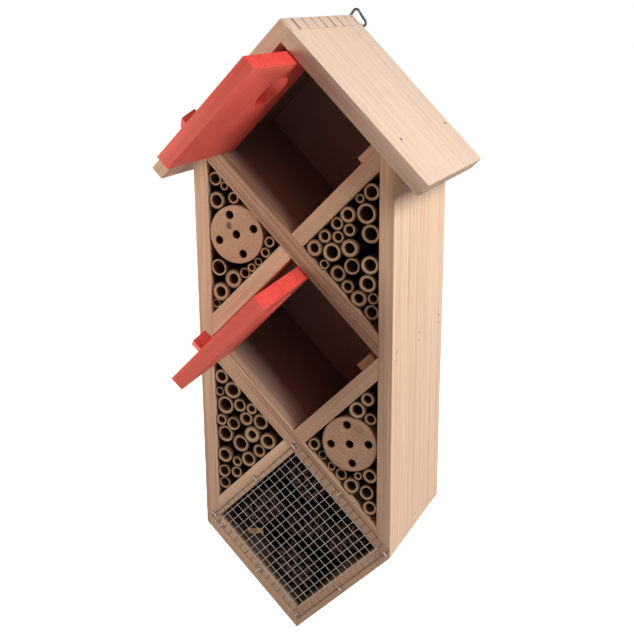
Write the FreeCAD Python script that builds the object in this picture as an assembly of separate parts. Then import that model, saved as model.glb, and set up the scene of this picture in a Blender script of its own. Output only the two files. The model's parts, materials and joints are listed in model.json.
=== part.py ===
import FreeCAD, Part
import math
import os

# Insect hotel: a tall pine house hung on a wall by a ring at its back.
# Three diamond compartments stand one above the other between two side boards, and four side
# triangles hold bamboo tubes and two drilled logs. Red doors close the upper two diamonds and wire
# mesh covers the lowest, which is packed with pine cones and bark.
# Frame: +Z up, the front faces -Y, and the wall side lies in the plane Y = 0.
# Origin: middle of the wall side, level with the middle of the second compartment.
# Millimetres throughout.

# ---- driving dimensions ----
inner_width = 128.8        # between the two side boards
house_depth = 113.5        # side boards, front to back
side_thick = 10.6          # side boards
divider_thick = 11.8       # boards that cross inside the house
bottom_thick = 11.8        # the two boards of the pointed bottom
roof_thick = 10.5
roof_length = 133.4        # along each slope, from the inner ridge corner to the eave
roof_overhang = 11.7       # in front of the house
back_thick = 6.0           # back panel, let in flush between the boards

door_thick = 10.6
door_gap = 0.8             # between a door and the boards at its two hinge ends
door_edge_gap = 0.9        # between a closed door's free edge and the board below it
hinge_inset = 12.2         # hinge line to the board above it
hinge_edge = 10.0          # hinge line to the door's own hinged edge
upper_open_angle = 90.0    # how far the upper door stands open, in degrees
lower_open_angle = 87.0
pin_radius = 1.5
pin_clearance = 0.06       # radial, where a pin turns in a door
pin_in_door = 14.0
pin_in_board = 8.0
entrance_diameter = 29.0   # round hole through each door
entrance_edge = 27.0       # hole centre to the two nearest door edges
knob_width = 14.0
knob_height = 11.0
knob_thick = 9.0
knob_edge = 23.0           # knob centre to the two nearest door edges
stop_length = 14.0         # block that a closed door rests on
stop_height = 6.0
stop_depth = 10.0
stop_start = 8.0           # from the compartment's right corner
stop_gap = 0.3             # between a closed door and its stop

log_diameter = 42.4
log_hole_diameter = 6.1
log_hole_circle = 29.0     # circle through the four outer holes
log_hole_depth = 60.0
log_recess = 1.0           # log face behind the board fronts
tube_recess = 1.6          # mean bamboo end behind the board fronts
tube_stagger = 0.45        # steps by which the bamboo ends differ
tube_gap = 0.2             # between neighbouring tubes
board_gap = 0.15           # between a tube and a board

mesh_pitch = 6.35
mesh_lap = 5.3             # mesh over the boards round it
mesh_wire = 0.55
mesh_end = 0.9             # wire ends past the outer crossing wires
mesh_shift = 2.0           # the mesh sits a little off centre

staple_wire = 0.9
staple_crown = 5.6
staple_leg = 6.0

ring_wire = 2.0
ring_half_base = 10.0
ring_height = 14.0
ring_corner = 2.4          # bend radius on the wire's centre line
ring_bar_height = -8.5     # base bar, from the outer ridge line
ring_stand_off = 2.0       # base bar's centre line behind the wall side of the boards
hanger_shift = 2.0         # the hanger sits a little to the right of the ridge
strap_width = 9.0
strap_thick = 0.9
strap_length = 21.0
strap_clearance = 0.08     # radial, where the ring turns in its strap
hanger_screw_radius = 1.4
hanger_screw_head = 2.8
hanger_screw_length = 5.0
hanger_screw_pitch = 10.0

brad_radius = 0.7
brad_head = 1.15
brad_head_thick = 0.5
brad_proud = 0.15
brad_length = 24.0
brad_clear = 0.5           # between a front brad and the hinge pin in front of it
brad_pair = 6.0            # between the two brads of a joint
brad_slant = 38.0          # degrees

# ---- levels and shared places ----
root2 = math.sqrt(2.0)
half_in = inner_width / 2
half_out = half_in + side_thick
divider_half = divider_thick / root2          # half a divider's upright height where it slopes at 45
cross_pitch = 2 * half_in + 2 * divider_half  # from one crossing of the dividers to the next
cross_upper = cross_pitch / 2
cross_lower = -cross_pitch / 2
ridge_in = cross_upper + divider_half + 2 * half_in
roof_rise = roof_thick * root2
tip_in = cross_lower - divider_half - 2 * half_in
tip_out = tip_in - bottom_thick * root2
front = -house_depth
inner_depth = house_depth - back_thick
store_centre = cross_lower - divider_half - half_in
brad_inset = door_thick / 2 + pin_radius + brad_clear + brad_radius
triangle_reach = half_in - divider_half       # from a side board to the corner by the crossing

slope_up = FreeCAD.Vector(1, 0, 1) / root2      # "/" boards run this way
slope_down = FreeCAD.Vector(1, 0, -1) / root2   # "\" boards run this way
toward_back = FreeCAD.Vector(0, 1, 0)


def save(name, solids):
    """Write one named sub-part, a solid or a list of separate solids."""
    shape = solids if not isinstance(solids, list) else Part.makeCompound(solids)
    shape.exportStep("parts/" + name + ".step")


def board(outline, y_front, y_back):
    """A board whose outline is given in X and Z, running from front to back."""
    points = [FreeCAD.Vector(x, y_front, z) for x, z in outline]
    face = Part.Face(Part.makePolygon(points + points[:1]))
    return face.extrude(FreeCAD.Vector(0, y_back - y_front, 0))


def block(x_size, y_size, z_size, centre):
    """A plain block about its centre."""
    corner = centre - FreeCAD.Vector(x_size, y_size, z_size) / 2
    return Part.makeBox(x_size, y_size, z_size, corner)


def rod(radius, start, direction, length):
    return Part.makeCylinder(radius, length, start, direction)


def mirrored(outline):
    return [(-x, z) for x, z in reversed(outline)]


# ---- house ----
def side_outline():
    return [
        (half_in, ridge_in - half_in),
        (half_out, ridge_in - half_out),
        (half_out, tip_out + half_out),
        (half_in, tip_out + half_in),
    ]


def roof_outlines():
    """The left board runs to the ridge and the right board butts against its underside."""
    over = roof_thick / root2
    eave = roof_length / root2
    right_board = [
        (0, ridge_in),
        (eave, ridge_in - eave),
        (eave + over, ridge_in - eave + over),
        (over, ridge_in + over),
    ]
    left_board = [
        (-eave, ridge_in - eave),
        (over, ridge_in + over),
        (0, ridge_in + roof_rise),
        (-eave - over, ridge_in - eave + over),
    ]
    return left_board, right_board


def long_divider(crossing):
    """A board that runs down from the left side board to the right one through a crossing."""
    return [
        (-half_in, crossing + half_in + divider_half),
        (half_in, crossing - half_in + divider_half),
        (half_in, crossing - half_in - divider_half),
        (-half_in, crossing + half_in - divider_half),
    ]


def short_divider(crossing):
    """A board that runs up from the long divider to the right side board."""
    return [
        (0, crossing + divider_half),
        (divider_half, crossing),
        (half_in, crossing + half_in - divider_half),
        (half_in, crossing + half_in + divider_half),
    ]


def turned(outline, crossing):
    """The same outline half a turn round its crossing."""
    return [(-x, 2 * crossing - z) for x, z in outline]


def bottom_outline():
    return [
        (0, tip_in),
        (half_in, tip_in + half_in),
        (half_in, tip_out + half_in),
        (0, tip_out),
    ]


def back_outline():
    right_edge = [(half_in, ridge_in - half_in), (half_in, tip_in + half_in)]
    return [(0, ridge_in)] + right_edge + [(0, tip_in)] + mirrored(right_edge)


# ---- doors ----
# A door is drawn shut in its own frame: X along the hinge line, up to the right, Y from the hinge
# line to the free edge, Z towards the inside of the house, with the hinge line on the X axis.
opening_side = half_in * root2
door_length = opening_side - 2 * door_gap
door_free_edge = opening_side - hinge_inset - door_edge_gap


def door_placement(corner_level, open_angle):
    """Where a door stands when it is open by the angle. corner_level is its opening's top corner."""
    top_corner = FreeCAD.Vector(0, front, corner_level)
    middle = top_corner - slope_up * (opening_side / 2)
    hinge = middle + slope_down * hinge_inset + toward_back * (door_thick / 2)
    swing = math.radians(open_angle)
    across = slope_down * math.cos(swing) - toward_back * math.sin(swing)
    inward = slope_up.cross(across)
    turn = FreeCAD.Rotation(slope_up, across, inward, "XYZ")
    return FreeCAD.Placement(hinge, turn)


def door_panel():
    """Panel with its entrance hole and the two blind holes that its hinge pins turn in."""
    width = door_free_edge + hinge_edge
    centre = FreeCAD.Vector(0, (door_free_edge - hinge_edge) / 2, 0)
    panel = block(door_length, width, door_thick, centre)
    through = door_thick + 2
    hole_start = FreeCAD.Vector(door_length / 2 - entrance_edge, entrance_edge - hinge_edge, -through / 2)
    panel = panel.cut(rod(entrance_diameter / 2, hole_start, FreeCAD.Vector(0, 0, 1), through))
    for end in (-1, 1):
        start = FreeCAD.Vector(end * door_length / 2, 0, 0)
        bore = rod(pin_radius + pin_clearance, start, FreeCAD.Vector(-end, 0, 0), pin_in_door + 0.5)
        panel = panel.cut(bore)
    return panel


def door_knob():
    """A short block that is level when the door is shut, on the door's outer face."""
    centre = FreeCAD.Vector(
        knob_edge - door_length / 2, door_free_edge - knob_edge, -(door_thick + knob_thick) / 2
    )
    knob = block(knob_width, knob_height, knob_thick, centre)
    knob.rotate(centre, FreeCAD.Vector(0, 0, 1), 45)
    return knob


def hinge_pins():
    """Two pins, pressed into the boards at the ends of the hinge line."""
    pins = []
    for end in (-1, 1):
        outward = FreeCAD.Vector(end, 0, 0)
        start = outward * (door_length / 2 - pin_in_door)
        pins.append(rod(pin_radius, start, outward, pin_in_door + door_gap + pin_in_board))
    return pins


def placed(shape, placement):
    copy = shape.copy()
    copy.Placement = placement.multiply(copy.Placement)
    return copy


def door_stop(crossing):
    """Block on the short divider, near the right side board, just behind the shut door."""
    corner = FreeCAD.Vector(half_in, front + door_thick + stop_gap, crossing + half_in + divider_half)
    along = slope_up * -1
    out = slope_down * -1
    near = corner + along * stop_start
    far = near + along * stop_length
    points = [near, far, far + out * stop_height, near + out * stop_height]
    face = Part.Face(Part.makePolygon(points + points[:1]))
    return face.extrude(toward_back * stop_depth)


# ---- bamboo and logs in the side triangles ----
# Each triangle is measured inward from its side board and upward from its crossing.
board_lines = {
    "wall": (1.0, 0.0, 0.0),
    "upper": (-1 / root2, -1 / root2, -triangle_reach / root2),
    "lower": (-1 / root2, 1 / root2, -triangle_reach / root2),
}


def board_distance(name, point):
    across, up, offset = board_lines[name]
    return across * point[0] + up * point[1] - offset


def seats(radius, first, second):
    """Centres where a round piece touches both things: board names, or pieces (in, up, radius)."""
    if isinstance(first, str) and isinstance(second, str):
        a1, b1, c1 = board_lines[first]
        a2, b2, c2 = board_lines[second]
        c1 += radius + board_gap
        c2 += radius + board_gap
        det = a1 * b2 - b1 * a2
        return [((c1 * b2 - c2 * b1) / det, (a1 * c2 - a2 * c1) / det)]
    if isinstance(second, str):
        first, second = second, first
    if isinstance(first, str):
        across, up, _ = board_lines[first]
        reach = radius + second[2] + tube_gap
        drop = radius + board_gap - board_distance(first, second)
        if abs(drop) > reach:
            return []
        foot = (second[0] + across * drop, second[1] + up * drop)
        half = math.sqrt(reach * reach - drop * drop)
        return [(foot[0] - up * half, foot[1] + across * half), (foot[0] + up * half, foot[1] - across * half)]
    reach1 = radius + first[2] + tube_gap
    reach2 = radius + second[2] + tube_gap
    apart = math.hypot(second[0] - first[0], second[1] - first[1])
    if apart > reach1 + reach2 or apart < abs(reach1 - reach2):
        return []
    along = (reach1 * reach1 - reach2 * reach2 + apart * apart) / (2 * apart)
    half = math.sqrt(max(0.0, reach1 * reach1 - along * along))
    ux = (second[0] - first[0]) / apart
    uz = (second[1] - first[1]) / apart
    foot = (first[0] + ux * along, first[1] + uz * along)
    return [(foot[0] - uz * half, foot[1] + ux * half), (foot[0] + uz * half, foot[1] - ux * half)]


def is_free(point, radius, pieces):
    """Whether a round piece has room at the point, inside the three boards and off its neighbours."""
    slack = 1e-6
    if any(board_distance(name, point) < radius + board_gap - slack for name in board_lines):
        return False
    return all(
        math.hypot(point[0] - x, point[1] - z) > radius + other + tube_gap - slack for x, z, other in pieces
    )


def settle(radius, contacts, choice, pieces):
    """Seat a piece against its two contacts, or else in the first other free seat."""
    named = [pieces[name] if isinstance(name, int) else name for name in contacts]
    places = seats(radius, named[0], named[1])
    for point in places[choice:] + places[:choice]:
        if is_free(point, radius, pieces):
            return point
    things = list(board_lines) + pieces
    for i, first in enumerate(things):
        for second in things[i + 1:]:
            for point in seats(radius, first, second):
                if is_free(point, radius, pieces):
                    return point
    return None


# Tubes in the order they are pushed in: outer diameter, bore, the two things each rests on, and which
# of the two seats against them it takes. A number is an earlier piece in the same list, counted from
# 0. A log is always number 0.
upper_left_tubes = [
    (7.5, 4.8, "lower", 0, 1), (8.5, 4.9, 0, 1, 0), (12.5, 8.0, "wall", 0, 0), (9.0, 5.7, "upper", 0, 1),
    (6.5, 5.0, "wall", "lower", 0), (13.5, 7.8, "lower", 5, 1), (10.5, 7.1, "wall", "upper", 0),
    (6.5, 4.2, "upper", 7, 0), (14.0, 7.7, "lower", 6, 1), (8.0, 5.7, "lower", 9, 1),
    (6.5, 4.1, "lower", 10, 1), (6.0, 4.1, "lower", 11, 1), (12.5, 9.8, "wall", 9, 0),
]
upper_right_tubes = [
    (12.0, 6.7, "upper", "lower", 0), (10.0, 5.7, "upper", 0, 1), (13.5, 9.0, 0, 1, 0),
    (9.0, 5.3, 1, 2, 1), (9.5, 5.9, "upper", 3, 1), (11.5, 6.7, "upper", 4, 1), (9.5, 5.5, 4, 5, 0),
    (13.0, 7.5, 2, 3, 0), (11.5, 7.2, "wall", "lower", 0), (8.5, 5.7, "wall", 8, 0),
    (12.0, 6.9, "lower", 9, 1), (10.0, 5.8, "lower", 10, 1), (13.0, 8.1, 9, 10, 0),
    (12.0, 7.2, "lower", 11, 1), (12.0, 7.9, "wall", "upper", 0), (13.0, 8.5, "wall", 12, 0),
    (7.0, 3.7, "upper", 14, 0), (14.5, 10.2, 5, 16, 0), (13.5, 9.1, "wall", 17, 1),
    (12.0, 8.8, 7, 13, 1), (7.0, 4.9, "lower", 2, 0),
]
lower_left_tubes = [
    (11.5, 7.3, "wall", "upper", 0), (14.0, 8.9, "upper", 0, 0), (7.0, 5.2, "wall", 1, 1),
    (14.5, 9.8, "wall", 1, 1), (10.5, 6.8, 1, 3, 0), (9.0, 5.4, "wall", 3, 1), (13.5, 9.1, "wall", 5, 1),
    (9.0, 5.1, "upper", 4, 0), (11.5, 6.6, 4, 7, 1), (12.5, 8.3, "upper", 8, 0), (13.0, 6.5, 8, 9, 1),
    (14.0, 9.2, 6, 10, 1), (13.0, 8.0, "lower", 10, 1), (11.0, 6.3, "lower", 12, 0),
    (12.0, 7.7, "lower", 13, 0), (10.5, 7.8, 5, 6, 0), (9.5, 7.1, "wall", "lower", 0),
    (10.0, 7.2, "wall", 16, 0), (9.5, 5.8, "lower", 17, 1), (8.5, 5.0, 14, 18, 1),
    (12.5, 8.0, "wall", 19, 0),
]
lower_right_tubes = [
    (12.5, 7.8, "upper", 0, 1), (9.5, 5.7, 0, 1, 0), (10.5, 5.9, "upper", 1, 1),
    (7.0, 5.5, "lower", 0, 1), (11.5, 7.0, "wall", 0, 1), (10.0, 6.3, "upper", "lower", 0),
    (6.5, 4.4, "lower", 0, 0), (11.0, 7.0, "wall", "lower", 0), (9.5, 6.4, "lower", 0, 0),
    (6.5, 3.5, 0, 5, 0), (12.0, 7.5, "lower", 9, 0), (11.5, 7.9, 8, 11, 0),
]


def seated(tube_list, with_log, slimmer):
    """Places in one triangle of the log, if there is one, and of each tube that finds a seat."""
    pieces = []
    if with_log:
        radius = log_diameter / 2
        pieces.append(seats(radius, "wall", "upper")[0] + (radius,))
    kept = []
    for diameter, bore, first, second, choice in tube_list:
        point = settle(diameter * slimmer / 2, (first, second), choice, pieces)
        if point is None:
            break
        pieces.append(point + (diameter * slimmer / 2,))
        kept.append((point, diameter * slimmer, bore * slimmer))
    return pieces, kept


def fill_triangle(tube_list, with_log):
    """Places of the pieces in one triangle: (in, up, radius), the log first if there is one.

    In a smaller triangle the canes are picked slimmer, all in proportion, until every one has a seat.
    """
    steps = 35
    for step in range(steps):
        pieces, kept = seated(tube_list, with_log, 1 - step / 50)
        if len(kept) == len(tube_list):
            return pieces, kept
    raise ValueError("the triangle is too small for its bamboo")


def bamboo_bundle(kept, hand, crossing):
    """One hollow solid for each tube. hand is 1 on the right of the house and -1 on the left."""
    tubes = []
    for number, (point, diameter, bore) in enumerate(kept):
        recess = tube_recess + tube_stagger * (number * 3 % 5 - 2)
        x = hand * (half_in - point[0])
        start = FreeCAD.Vector(x, front + recess, crossing + point[1])
        length = inner_depth - recess
        outer = rod(diameter / 2, start, toward_back, length)
        tubes.append(outer.cut(rod(bore / 2, start - toward_back, toward_back, length + 2)))
    return tubes


def drilled_log(place, hand, crossing, turn):
    """A length of branch with five blind holes in its front end."""
    x = hand * (half_in - place[0])
    z = crossing + place[1]
    start = FreeCAD.Vector(x, front + log_recess, z)
    log = rod(log_diameter / 2, start, toward_back, inner_depth - log_recess)
    centres = [(0.0, 0.0)]
    for step in range(4):
        angle = math.radians(turn + 90 * step)
        reach = log_hole_circle / 2
        centres.append((reach * math.cos(angle), reach * math.sin(angle)))
    for dx, dz in centres:
        hole_start = start + FreeCAD.Vector(dx, -1, dz)
        log = log.cut(rod(log_hole_diameter / 2, hole_start, toward_back, log_hole_depth + 1))
    return log


# ---- wire mesh and staples ----
mesh_cells = round((opening_side + 2 * mesh_lap) / mesh_pitch)
mesh_centre = FreeCAD.Vector(mesh_shift, front, store_centre)
mesh_half = mesh_pitch * mesh_cells / 2


def mesh_wires():
    """Straight wires in two layers, the first lying on the board fronts."""
    wires = []
    half_length = mesh_half + mesh_end
    for layer, (along, across) in enumerate(((slope_up, slope_down), (slope_down, slope_up))):
        forward = toward_back * -(mesh_wire * (layer + 0.5))
        for number in range(mesh_cells + 1):
            offset = number * mesh_pitch - mesh_half
            start = mesh_centre + across * offset + forward - along * half_length
            wires.append(rod(mesh_wire / 2, start, along, 2 * half_length))
    return wires


def staple(place, along):
    """A wire staple with its crown over the mesh and two legs driven into the board."""
    out = toward_back * -1
    across = out.cross(along)
    turn = FreeCAD.Placement(place, FreeCAD.Rotation(along, across, out, "XYZ"))
    crown_low = 2 * mesh_wire
    crown = block(staple_crown, staple_wire, staple_wire, FreeCAD.Vector(0, 0, crown_low + staple_wire / 2))
    shape = crown
    leg_height = staple_leg + crown_low + staple_wire / 2
    for end in (-1, 1):
        x = end * (staple_crown - staple_wire) / 2
        centre = FreeCAD.Vector(x, 0, leg_height / 2 - staple_leg)
        shape = shape.fuse(block(staple_wire, staple_wire, leg_height, centre))
    shape = shape.removeSplitter()
    return placed(shape, turn)


def mesh_staples():
    """Staples straddle the outer wires: at the corners, and half way along each side."""
    rim = mesh_half
    cell = mesh_pitch / 2
    past_middle = (mesh_cells // 2 + 0.5) * mesh_pitch - rim
    short_of_middle = past_middle - mesh_pitch
    places = [
        (-rim, rim - cell, slope_down), (-rim, past_middle, slope_down), (-rim, cell - rim, slope_down),
        (3 * cell - rim, -rim, slope_up), (past_middle, -rim, slope_up), (rim - cell, -rim, slope_up),
        (rim, short_of_middle, slope_down), (rim, rim - cell, slope_down), (short_of_middle, rim, slope_up),
    ]
    staples = []
    for down, up, along in places:
        place = mesh_centre + slope_down * down + slope_up * up
        staples.append(staple(place, along))
    return staples


# ---- filling of the lowest compartment ----
cone_length = 40.0
cone_diameter = 26.5
# Cone centres: down the falling slope, up the rising slope, behind the front, then the way the cone points,
# in degrees from the down slope.
cone_places = [
    (-22.5, 30.0, 17.0, 4), (30.0, 22.0, 18.5, 86), (-29.5, -17.0, 16.5, 265), (3.0, -1.0, 24.0, 222),
    (20.5, -31.0, 17.5, 183),
]
# Bark pieces: down the slope, up the slope, behind the front, width, length, thickness, and turn.
bark_places = [
    (-22.0, 14.0, 44.0, 26.0, 34.0, 5.0, 20), (14.0, 24.0, 43.0, 30.0, 32.0, 6.0, -8),
    (24.0, -12.0, 44.0, 28.0, 30.0, 5.0, 12), (-14.0, -24.0, 45.0, 26.0, 30.0, 6.0, 10),
    (-18.0, 6.0, 58.0, 40.0, 44.0, 6.0, 0), (18.0, -14.0, 66.0, 42.0, 38.0, 7.0, 15),
]
chip_place = (-19.0, -33.0, 6.5)
chip_size = (18.0, 2.5, 7.0)


def store_point(down, up, behind):
    return FreeCAD.Vector(0, front + behind, store_centre) + slope_down * down + slope_up * up


def in_store(heading):
    """A turn that lies flat against the mesh: X along the heading from the down slope."""
    flat = FreeCAD.Rotation(slope_down, slope_up, toward_back * -1, "XYZ")
    return flat.multiply(FreeCAD.Rotation(FreeCAD.Vector(0, 0, 1), heading))


def pine_cone(down, up, behind, heading):
    """An egg-shaped cone, its stalk end towards its heading."""
    half = cone_length / 2
    radius = cone_diameter / 2
    outline = [(-1.0, 0.0), (-0.82, 0.5), (-0.35, 1.0), (0.25, 0.86), (0.82, 0.4), (1.0, 0.0)]
    points = [FreeCAD.Vector(half * along, radius * out, 0) for along, out in outline]
    curve = Part.BSplineCurve()
    curve.interpolate(points)
    edges = [curve.toShape(), Part.makeLine(points[-1], points[0])]
    solid = Part.Face(Part.Wire(edges)).revolve(FreeCAD.Vector(0, 0, 0), FreeCAD.Vector(1, 0, 0), 360)
    return placed(solid, FreeCAD.Placement(store_point(down, up, behind), in_store(heading)))


def bark_piece(down, up, behind, width, length, thick, heading):
    slab = block(width, length, thick, FreeCAD.Vector(0, 0, 0))
    slab = slab.makeFillet(thick * 0.3, slab.Edges)
    return placed(slab, FreeCAD.Placement(store_point(down, up, behind), in_store(heading)))


def light_chip():
    """A pale splinter lying against the mesh, nearly level."""
    chip = block(chip_size[0], chip_size[1], chip_size[2], FreeCAD.Vector(0, 0, 0))
    turn = FreeCAD.Rotation(FreeCAD.Vector(0, 1, 0), -12)
    return placed(chip, FreeCAD.Placement(store_point(*chip_place), turn))


# ---- hanger ----
ring_bar_z = ridge_in + roof_rise + ring_bar_height


def hanger_ring():
    """Wire triangle standing on its base bar, behind the ridge."""
    y = ring_stand_off
    corners = [
        FreeCAD.Vector(hanger_shift - ring_half_base, y, ring_bar_z),
        FreeCAD.Vector(hanger_shift + ring_half_base, y, ring_bar_z),
        FreeCAD.Vector(hanger_shift, y, ring_bar_z + ring_height),
    ]
    edges = []
    ends = []
    for i, corner in enumerate(corners):
        before = (corners[i - 1] - corner).normalize()
        after = (corners[(i + 1) % 3] - corner).normalize()
        half_angle = before.getAngle(after) / 2
        back_off = ring_corner / math.tan(half_angle)
        inward = (before + after).normalize()
        centre = corner + inward * (ring_corner / math.sin(half_angle))
        middle = centre - inward * ring_corner
        start = corner + before * back_off
        end = corner + after * back_off
        edges.append(Part.Arc(start, middle, end).toShape())
        ends.append((start, end))
    for i in range(3):
        edges.append(Part.makeLine(ends[i][1], ends[(i + 1) % 3][0]))
    path = Part.Wire(Part.__sortEdges__(edges))
    first = path.Edges[0]
    origin = first.Vertexes[0].Point
    tangent = first.tangentAt(first.FirstParameter)
    profile = Part.Wire(Part.makeCircle(ring_wire / 2, origin, tangent))
    return path.makePipeShell([profile], True, False)


def hanger_strap():
    """Plate screwed to the back, rolled at its top into a loop that the ring turns in."""
    loop_in = ring_wire / 2 + strap_clearance
    loop_out = loop_in + strap_thick
    strap_left = hanger_shift - strap_width / 2
    left = FreeCAD.Vector(strap_left, ring_stand_off, ring_bar_z)
    loop = rod(loop_out, left, FreeCAD.Vector(1, 0, 0), strap_width)
    plate_corner = FreeCAD.Vector(strap_left, 0, ring_bar_z - strap_length)
    plate = Part.makeBox(strap_width, strap_thick, strap_length, plate_corner)
    strap = plate.fuse(loop)
    strap = strap.cut(rod(loop_in, left - FreeCAD.Vector(1, 0, 0), FreeCAD.Vector(1, 0, 0), strap_width + 2))
    for z in hanger_screw_levels():
        hole = rod(hanger_screw_radius, FreeCAD.Vector(hanger_shift, -1, z), toward_back, strap_thick + 2)
        strap = strap.cut(hole)
    return strap.removeSplitter()


def hanger_screw_levels():
    lowest = ring_bar_z - strap_length + strap_width / 2
    return [lowest, lowest + hanger_screw_pitch]


def hanger_screws():
    """Round-head screws through the strap into the back."""
    screws = []
    for z in hanger_screw_levels():
        head_start = FreeCAD.Vector(hanger_shift, strap_thick, z)
        head = rod(hanger_screw_head, head_start, toward_back, 1.2)
        slot = block(2 * hanger_screw_head + 1, 1.0, 0.7, head_start + FreeCAD.Vector(0, 1.2, 0))
        shank_start = FreeCAD.Vector(hanger_shift, strap_thick - hanger_screw_length, z)
        shank = rod(hanger_screw_radius, shank_start, toward_back, hanger_screw_length)
        screws.append(head.cut(slot).fuse(shank).removeSplitter())
    return screws


# ---- brads ----
def brad(surface_point, outward, shank_way):
    """A thin nail whose head stands a hair proud of the surface, its shank driven in at a slant."""
    head_start = surface_point + outward * brad_proud
    head = rod(brad_head, head_start, outward * -1, brad_head_thick)
    shank_start = head_start - outward * (brad_head_thick / 2)
    return head.fuse(rod(brad_radius, shank_start, shank_way, brad_length)).removeSplitter()


def side_brads(hand):
    """Brads through one side board into the ends of the boards inside.

    Two sloping boards meet at each joint, and a pair of brads is driven slantwise, one into each.
    """
    outward = FreeCAD.Vector(hand, 0, 0)
    slant = math.radians(brad_slant)
    brads = []
    for joint_level in ((cross_upper + cross_lower) / 2, tip_in + half_in):
        for up in (-1, 1):
            shank_way = FreeCAD.Vector(-hand * math.cos(slant), 0, up * math.sin(slant))
            for y in (front + brad_inset, front + house_depth / 2, -brad_inset):
                place = FreeCAD.Vector(hand * half_out, y, joint_level + up * brad_pair / 2)
                brads.append(brad(place, outward, shank_way))
    return brads


def roof_brads():
    """Brads down through the roof boards into the side boards, and across the ridge joint."""
    brads = []
    over = roof_thick / root2
    inset = half_in + side_thick * 0.4
    rows = (front + brad_inset, -brad_inset)
    for hand in (-1, 1):
        outward = FreeCAD.Vector(hand, 0, 1) / root2
        for y in rows:
            place = FreeCAD.Vector(hand * (inset + over), y, ridge_in - inset + over)
            brads.append(brad(place, outward, outward * -1))
    outward = slope_down * -1
    ridge_edge = FreeCAD.Vector(0, 0, ridge_in + roof_rise)
    for y in rows:
        place = ridge_edge + toward_back * y + slope_up * (-roof_thick / 2)
        brads.append(brad(place, outward, outward * -1))
    return brads


def back_brads():
    """Brads through the back panel into the crossing dividers."""
    brads = []
    for crossing in (cross_upper, cross_lower):
        for share in (-0.7, 0.7):
            point = FreeCAD.Vector(share * half_in, 0, crossing - share * half_in)
            brads.append(brad(point, toward_back, toward_back * -1))
    return brads


def main():
    os.makedirs("parts", exist_ok=True)
    left_roof, right_roof = roof_outlines()
    roof_front = front - roof_overhang
    divider_back = -back_thick

    upper_at = door_placement(ridge_in, upper_open_angle)
    lower_at = door_placement(cross_upper - divider_half, lower_open_angle)
    panel = door_panel()
    knob = door_knob()
    pins = hinge_pins()
    upper_pins = [placed(pin, upper_at) for pin in pins]
    lower_pins = [placed(pin, lower_at) for pin in pins]

    houses = {
        "left_side": board(mirrored(side_outline()), front, 0),
        "right_side": board(side_outline(), front, 0),
        "roof_left": board(left_roof, roof_front, 0),
        "roof_right": board(right_roof, roof_front, 0),
        "upper_long_divider": board(long_divider(cross_upper), front, divider_back),
        "lower_long_divider": board(long_divider(cross_lower), front, divider_back),
        "upper_right_divider": board(short_divider(cross_upper), front, divider_back),
        "middle_right_divider": board(short_divider(cross_lower), front, divider_back),
        "upper_left_divider": board(turned(short_divider(cross_upper), cross_upper), front, divider_back),
        "lower_left_divider": board(turned(short_divider(cross_lower), cross_lower), front, divider_back),
        "bottom_right": board(bottom_outline(), front, 0),
        "bottom_left": board(mirrored(bottom_outline()), front, 0),
        "back_panel": board(back_outline(), -back_thick, 0),
    }
    for name, pin in (
        ("roof_right", upper_pins[1]), ("upper_long_divider", upper_pins[0]),
        ("upper_long_divider", lower_pins[1]), ("lower_long_divider", lower_pins[0]),
    ):
        houses[name] = houses[name].cut(pin)
    for name, solid in houses.items():
        save(name, solid)

    save("upper_door", placed(panel, upper_at))
    save("lower_door", placed(panel, lower_at))
    save("upper_door_knob", placed(knob, upper_at))
    save("lower_door_knob", placed(knob, lower_at))
    save("upper_hinge_pins", upper_pins)
    save("lower_hinge_pins", lower_pins)
    save("upper_door_stop", door_stop(cross_upper))
    save("lower_door_stop", door_stop(cross_lower))

    triangles = {
        "upper_left": (upper_left_tubes, -1, cross_upper, 20),
        "upper_right": (upper_right_tubes, 1, cross_upper, None),
        "lower_left": (lower_left_tubes, -1, cross_lower, None),
        "lower_right": (lower_right_tubes, 1, cross_lower, 8),
    }
    for name, (tube_list, hand, crossing, log_turn) in triangles.items():
        pieces, kept = fill_triangle(tube_list, log_turn is not None)
        save(name + "_bamboo", bamboo_bundle(kept, hand, crossing))
        if log_turn is not None:
            save(name + "_log", drilled_log(pieces[0], hand, crossing, log_turn))

    save("wire_mesh", mesh_wires())
    save("mesh_staples", mesh_staples())
    for number, place in enumerate(cone_places, start=1):
        save("pine_cone_%d" % number, pine_cone(*place))
    save("bark_pieces", [bark_piece(*place) for place in bark_places])
    save("light_chip", light_chip())

    save("hanger_ring", hanger_ring())
    save("hanger_strap", hanger_strap())
    save("hanger_screws", hanger_screws())
    save("left_brads", side_brads(-1))
    save("right_brads", side_brads(1))
    save("roof_brads", roof_brads())
    save("back_brads", back_brads())


main()
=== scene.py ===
import json
import math
import random

import bmesh
import bpy
from mathutils import Matrix, Vector, noise

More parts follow.
